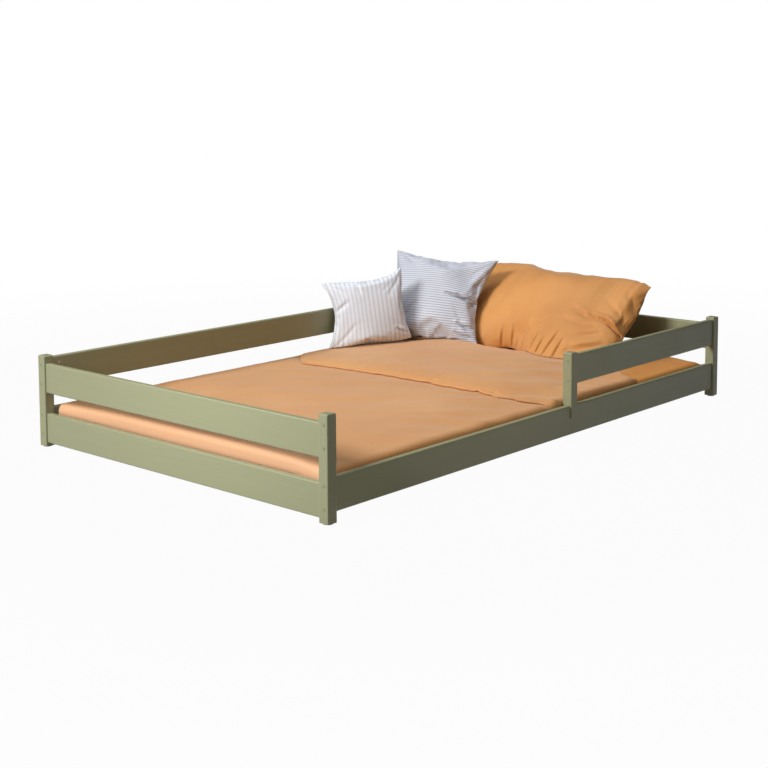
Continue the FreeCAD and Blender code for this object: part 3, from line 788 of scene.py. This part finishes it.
def gather(piece, size, axis, side, depth, spacing, seed, reach=40 * MM):
    """Small folds square to one seam, deepest at the seam."""
    for vert in piece.data.vertices:
        distance = max(size[axis] / 2 - side * vert.co[axis], 0.0)
        if distance > 4 * reach:
            continue
        along = vert.co[1 - axis]
        wave = cloth_noise(along, distance * 0.18, spacing, seed)
        wave += 0.5 * cloth_noise(along, distance * 0.3, spacing * 0.5, seed + 1)
        fade = math.exp(-distance / reach) * smooth(0.0, 6 * MM, distance)
        vert.co.z += math.copysign(depth, vert.co.z) * wave * fade


def stand(yaw, lean, roll):
    """Turns a flat cushion upright: its front faces -X, then yaw, a lean back and a roll."""
    turn, tip = math.radians(yaw), math.radians(lean)
    facing = Vector((-math.cos(turn), -math.sin(turn), 0))
    front = facing * math.cos(tip) + Vector((0, 0, 1)) * math.sin(tip)
    top = Vector((0, 0, 1)) * math.cos(tip) - facing * math.sin(tip)
    right = top.cross(front)
    axes = Matrix((right, top, front)).transposed()
    return axes @ Matrix.Rotation(math.radians(roll), 3, "Z")


def press_fold(piece, start, end, width, depth, flap=0.7):
    """Draws a fold from start to end into the front of a flat-lying cushion: a narrow dark
    valley with the cloth raised on its left side."""
    start, end = Vector(start), Vector(end)
    way = end - start
    left = Vector((-way.y, way.x)).normalized()
    for vert in piece.data.vertices:
        spot = vert.co.xy - start
        if vert.co.z < 0 or spot.length > way.length + 6 * width:
            continue
        share = min(max(spot.dot(way) / way.length_squared, 0.0), 1.0)
        away = spot - way * share
        side = away.length * (1 if away.dot(left) > 0 else -1)
        fade = math.sin(math.pi * min(max(share, 0.04), 0.96)) ** 0.6
        inner = smooth(0.0, 25 * MM, vert.co.z)
        vert.co.z -= depth * fade * inner * math.exp(-(side / width) ** 2)
        raised = fade * inner * math.exp(-((side - 1.8 * width) / width / 1.2) ** 2)
        vert.co.z += flap * depth * raised
        vert.co.xy -= left * (flap * width * 1.3 * raised)


cut_share = 0.53                      # half a cushion's flat cut, as a share of its filled size
cushion_pressure = 4.0


def cushion_piece(name, size, cell, frames, pull, calmed=None):
    """A sewn and filled cushion that lies flat."""
    start = size[2] * 0.35
    bm, rim = sewn_envelope(size[0] * cut_share, size[1] * cut_share, cell, start)
    piece = mesh_object(name, bm)
    blow_up(piece, cushion_pressure, frames)
    if calmed:
        straighten(piece, rim)
        calm(piece, *calmed)
    fit_to(piece, rim, size, pull)
    modifier(piece, "SUBSURF", levels=1, render_levels=1)
    apply_modifiers(piece)
    return piece


def move_into_place(piece, axes, middle):
    for vert in piece.data.vertices:
        vert.co = axes @ vert.co + middle


def rest_on_bedding(piece, softness):
    """Flattens the underside on what carries the piece, and lets it swell just above."""
    for vert in piece.data.vertices:
        floor = duvet_top(vert.co.x, vert.co.y) + cushion_gap
        above = vert.co.z - floor
        if above < softness:
            vert.co.z = floor + softness * math.exp((above - softness) / softness)


cushion_gap = 1.5 * MM                # between a cushion and what carries it


def duvet_top(x, y):
    """Height of the bedding's upper face under a cushion."""
    flat = Vector((x, y, 0))
    if x > head_x - 0.01:
        return sheet_top + 2 * MM
    under = layer_thickness(flat) + layer_gap
    over = turned_thickness(flat) if x > lip_at(y) else 0.0
    return on_sheet(flat, under + over).z


def finish_cushion(piece, cloth, body, node_name):
    for face in piece.data.polygons:
        face.use_smooth = True
    piece.data.materials.clear()
    piece.data.materials.append(cloth)
    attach(piece, body)
    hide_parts(node_name)


def slump(piece, low, reach, by, near_y, full_y, far_y):
    """The filling settles: the lower part slides forward, most of all at full_y."""
    for vert in piece.data.vertices:
        share = smooth(reach, 0.0, vert.co.z - low)
        along = (smooth(far_y, full_y, vert.co.y) if vert.co.y > full_y
                 else 1 - 0.8 * ((full_y - vert.co.y) / (full_y - near_y)) ** 2)
        vert.co.x -= by * share * along


def even_top(piece, floor, points):
    """Brings the piece's upper line to the given heights, from (y, height) points."""
    column_width = 20 * MM
    tops = {}
    for vert in piece.data.vertices:
        column = round(vert.co.y / column_width)
        tops[column] = max(tops.get(column, 0.0), vert.co.z)
    for vert in piece.data.vertices:
        at = vert.co.y / column_width
        near = [(top, math.exp(-2 * (column - at) ** 2)) for column, top in tops.items()]
        have = sum(top * weight for top, weight in near) / sum(weight for top, weight in near)
        want = have
        for (y_1, z_1), (y_2, z_2) in zip(points, points[1:]):
            if y_1 <= vert.co.y <= y_2:
                want = z_1 + (z_2 - z_1) * (vert.co.y - y_1) / (y_2 - y_1)
        share = min(max((vert.co.z - floor) / max(have - floor, 0.1), 0.0), 1.0)
        ends = smooth(points[0][0], points[0][0] + 0.03, vert.co.y) \
            * smooth(points[-1][0], points[-1][0] - 0.03, vert.co.y)
        vert.co.z += (want - have) * share * ends


def straighten(piece, rim):
    """Lays the upper seam in one straight line, with the cloth below it following."""
    points = piece.data.vertices
    top = max(points[i].co.y for i in rim)
    seam = [points[i].co.copy() for i in rim if points[i].co.y > 0.75 * top]
    for vert in points:
        if vert.co.y < 0.2 * top:
            continue
        near = [(spot, math.exp(-((spot.x - vert.co.x) / (12 * MM)) ** 2)) for spot in seam]
        total = sum(weight for spot, weight in near)
        if total < 1e-6:
            continue
        line_y = sum(spot.y * weight for spot, weight in near) / total
        line_z = sum(spot.z * weight for spot, weight in near) / total
        share = smooth(0.2 * top, line_y, vert.co.y)
        vert.co.y += (0.97 * top - line_y) * share
        vert.co.z -= line_z * share


pillow_top_line = [(-0.385, 0.4045), (-0.345, 0.411), (-0.207, 0.4185), (0.048, 0.426),
                   (0.15, 0.432), (0.255, 0.4315), (0.305, 0.4275), (0.34, 0.415)]


def pillow():
    """Large pillow: plump and smooth at its far end, with folds that run out from its lower
    near corner and small gathers along the lower seam."""
    size = (0.735, 0.372, 0.205)
    piece = cushion_piece("pillow_case", size, 8 * MM, 28, pull=(-0.01, 0.03, 0.0, -0.005),
                          calmed=(-2.0, 45))
    draw_out(piece, size, (-1, 1), (-0.030, 0.012, 0), 0.16)
    draw_out(piece, size, (1, -1), (0.016, 0.0, 0), 0.16)
    draw_out(piece, size, (1, 1), (0.004, -0.014, 0), 0.07)
    gather(piece, size, 1, -1, 3.5 * MM, 22 * MM, 41, 18 * MM)
    gather(piece, size, 0, 1, 4 * MM, 24 * MM, 42)
    for middle, tilt, top in ((-0.120, 0.004, -0.140), (-0.070, 0.006, -0.130),
                              (-0.038, 0.004, -0.140), (0.010, 0.012, -0.105),
                              (0.045, 0.004, -0.138), (0.080, 0.006, -0.126),
                              (0.115, 0.003, -0.140), (0.152, 0.010, -0.112),
                              (0.190, 0.004, -0.138)):
        press_fold(piece, (middle - tilt, -0.210), (middle + tilt, top), 6.5 * MM, 8 * MM)
    for fold in (((0.228, -0.018), (0.312, -0.040), 6 * MM, 26 * MM, 0.5),
                 ((0.285, -0.031), (0.376, -0.078), 6.5 * MM, 32 * MM, 0.5),
                 ((0.255, 0.070), (0.350, -0.015), 15 * MM, 7 * MM, 0.5),
                 ((0.310, 0.120), (0.354, 0.050), 10 * MM, 5 * MM, 0.5),
                 ((0.150, -0.015), (0.240, -0.036), 9 * MM, 7 * MM),
                 ((0.140, -0.070), (0.255, -0.062), 11 * MM, 9 * MM),
                 ((0.190, -0.125), (0.300, -0.095), 10 * MM, 9 * MM),
                 ((0.230, -0.165), (0.330, -0.130), 9 * MM, 10 * MM)):
        press_fold(piece, *fold)
    middle = Vector((0.815, (pillow_low.y + pillow_high.y) / 2 + 4 * MM, 0.272))
    move_into_place(piece, stand(0.0, 46.0, 0.0), middle)
    slump(piece, sheet_top, 0.19, 0.105, pillow_low.y, -0.16, 0.08)
    for step in range(4):
        even_top(piece, 0.24, pillow_top_line)
    rest_on_bedding(piece, 12 * MM)
    finish_cushion(piece, pillow_cotton, "pillow_body", "pillow")


def striped_cushion():
    """Cushion with fine blue stripes: drawn-in sides, and a fold towards its near side."""
    size = (0.414, 0.366, 0.140)
    piece = cushion_piece("striped_cushion_case", size, 7 * MM, 26,
                          pull=(0.12, 0.20, 0.02, 0.13))
    draw_out(piece, size, (-1, 1), (-0.010, 0.012, 0))
    draw_out(piece, size, (1, 1), (0.010, 0.008, 0))
    gather(piece, size, 1, -1, 3.5 * MM, 20 * MM, 51, 25 * MM)
    gather(piece, size, 1, 1, 2.5 * MM, 18 * MM, 52, 18 * MM)
    for fold in (((0.090, 0.150), (0.160, 0.010), 55 * MM, 20 * MM, 0.0),
                 ((0.055, 0.000), (0.135, -0.010), 6 * MM, 18 * MM, 0.5),
                 ((0.100, -0.004), (0.188, -0.028), 6.5 * MM, 28 * MM, 0.5),
                 ((-0.150, -0.060), (-0.080, 0.020), 18 * MM, 5 * MM, 0.2),
                 ((0.120, -0.115), (0.180, -0.125), 6 * MM, 13 * MM),
                 ((0.115, -0.150), (0.175, -0.160), 6 * MM, 11 * MM)):
        press_fold(piece, *fold)
    middle = (striped_low + striped_high) / 2 - Vector((0, 0, 5 * MM))
    move_into_place(piece, stand(23.0, 33.0, -3.5), middle)
    rest_on_bedding(piece, 8 * MM)
    finish_cushion(piece, blue_stripes, "striped_cushion_body", "striped_cushion")


def small_cushion():
    """Small cushion with broad pale stripes that stands at the far side, with pointed tips."""
    size = (0.320, 0.266, 0.110)
    piece = cushion_piece("small_cushion_case", size, 6 * MM, 26,
                          pull=(0.22, 0.12, -0.02, 0.21))
    draw_out(piece, size, (-1, -1), (-0.012, -0.010, 0), 0.06)
    draw_out(piece, size, (1, 1), (-0.004, 0.014, 0), 0.035)
    draw_out(piece, size, (-1, 1), (-0.004, -0.008, 0), 0.06)
    gather(piece, size, 1, -1, 3 * MM, 16 * MM, 61, 20 * MM)
    gather(piece, size, 0, 1, 2 * MM, 18 * MM, 62, 15 * MM)
    for fold in (((-0.130, -0.005), (-0.070, 0.035), 9 * MM, 5 * MM, 0.3),
                 ((0.105, -0.090), (0.150, -0.112), 5 * MM, 9 * MM),
                 ((-0.030, 0.105), (-0.020, 0.060), 7 * MM, 5 * MM, 0.3)):
        press_fold(piece, *fold)
    middle = (small_low + small_high) / 2 - Vector((0, 0, 9 * MM))
    move_into_place(piece, stand(47.0, 13.0, 6.5), middle)
    rest_on_bedding(piece, 8 * MM)
    finish_cushion(piece, white_stripes, "small_cushion_body", "small_cushion")


# ---- studio ----
def studio_floor():
    """Plain pale floor that shows white to the camera and keeps a soft shadow."""
    bm = bmesh.new()
    bmesh.ops.create_grid(bm, x_segments=1, y_segments=1, size=14.0)
    floor = mesh_object("studio_floor", bm)
    made = bpy.data.materials.new("studio_paper")
    made.use_nodes = True
    tree = made.node_tree
    tree.nodes.clear()
    paper = node(tree, "ShaderNodeBsdfDiffuse", in_Color=(0.13, 0.13, 0.125, 1))
    white = node(tree, "ShaderNodeEmission", in_Color=(1, 1, 1, 1), in_Strength=1.0)
    rays = node(tree, "ShaderNodeLightPath")
    seen = node(tree, "ShaderNodeMath", {0: rays.outputs["Is Camera Ray"],
                                         1: rays.outputs["Is Glossy Ray"]}, operation="MAXIMUM")
    place = node(tree, "ShaderNodeTexCoord")
    away = node(tree, "ShaderNodeVectorMath", {0: place.outputs["Object"]}, operation="LENGTH")
    fade = node(tree, "ShaderNodeMapRange", {"Value": away.outputs["Value"]},
                in_1=1.6, in_2=4.0, in_3=0.965, in_4=1.0)
    share = node(tree, "ShaderNodeMath", {0: seen.outputs[0], 1: fade.outputs[0]},
                 operation="MULTIPLY")
    both = node(tree, "ShaderNodeMixShader", {0: share.outputs[0], 1: paper.outputs[0],
                                              2: white.outputs[0]})
    output = node(tree, "ShaderNodeOutputMaterial")
    tree.links.new(both.outputs[0], output.inputs["Surface"])
    floor.data.materials.append(made)


def area_light(name, place, target, size, power, colour):
    lamp = bpy.data.lights.new(name, "AREA")
    lamp.shape = "RECTANGLE"
    lamp.size, lamp.size_y = size
    lamp.energy = power
    lamp.color = linear(colour)[:3]
    holder = bpy.data.objects.new(name, lamp)
    bpy.context.scene.collection.objects.link(holder)
    holder.visible_camera = False
    holder.location = place
    holder.rotation_euler = (Vector(target) - Vector(place)).to_track_quat("-Z", "Y").to_euler()


def studio_light():
    world = bpy.data.worlds.new("studio")
    bpy.context.scene.world = world
    world.use_nodes = True
    tree = world.node_tree
    tree.nodes.clear()
    rays = node(tree, "ShaderNodeLightPath")
    shade = node(tree, "ShaderNodeMix", {"Factor": rays.outputs["Is Camera Ray"]},
                 data_type="RGBA")
    shade.inputs["A"].default_value = (0.035, 0.034, 0.030, 1)
    shade.inputs["B"].default_value = (1, 1, 1, 1)
    back = node(tree, "ShaderNodeBackground", {"Color": shade.outputs["Result"]})
    output = node(tree, "ShaderNodeOutputWorld")
    tree.links.new(back.outputs[0], output.inputs["Surface"])
    area_light("lamp_at_the_foot", (-1.8, -0.2, 0.6), (-1.0, -0.1, 0.15), (0.4, 0.4),
               4.1, "FFFFFF")
    area_light("lamp_at_the_entry", (-0.6, -2.1, 0.6), (-0.6, -0.6, 0.1), (0.6, 0.6),
               4.0, "FFF0DA")
    area_light("window_beyond_the_foot", (-5.2, 1.8, 3.5), (0.1, 0.1, 0.1), (2.2, 2.0),
               400.0, "FFFDF8")
    area_light("fill_from_above", (0.3, 0.3, 3.2), (0.1, 0.0, 0.1), (3.0, 2.2), 58.0, "FFFFFF")


def camera():
    """Off the near foot corner. It is tilted only a little, because the posts stay nearly
    parallel in the photograph, and the lens shift brings the bed to its place in the frame."""
    data = bpy.data.cameras.new("camera")
    data.sensor_width = 36.0
    data.lens = 65.56
    data.shift_y = -0.20
    holder = bpy.data.objects.new("camera", data)
    bpy.context.scene.collection.objects.link(holder)
    holder.location = (-3.5920, -3.1051, 1.1272)
    holder.rotation_euler = (math.radians(84.308), math.radians(0.231), math.radians(-48.409))
    bpy.context.scene.camera = holder


dress_cad_nodes()
mattress_piece()
fitted_sheet_piece()
duvet_layer()
turned_layer()
pillow()
striped_cushion()
small_cushion()
studio_floor()
studio_light()
camera()
bpy.context.scene.view_settings.view_transform = "Standard"
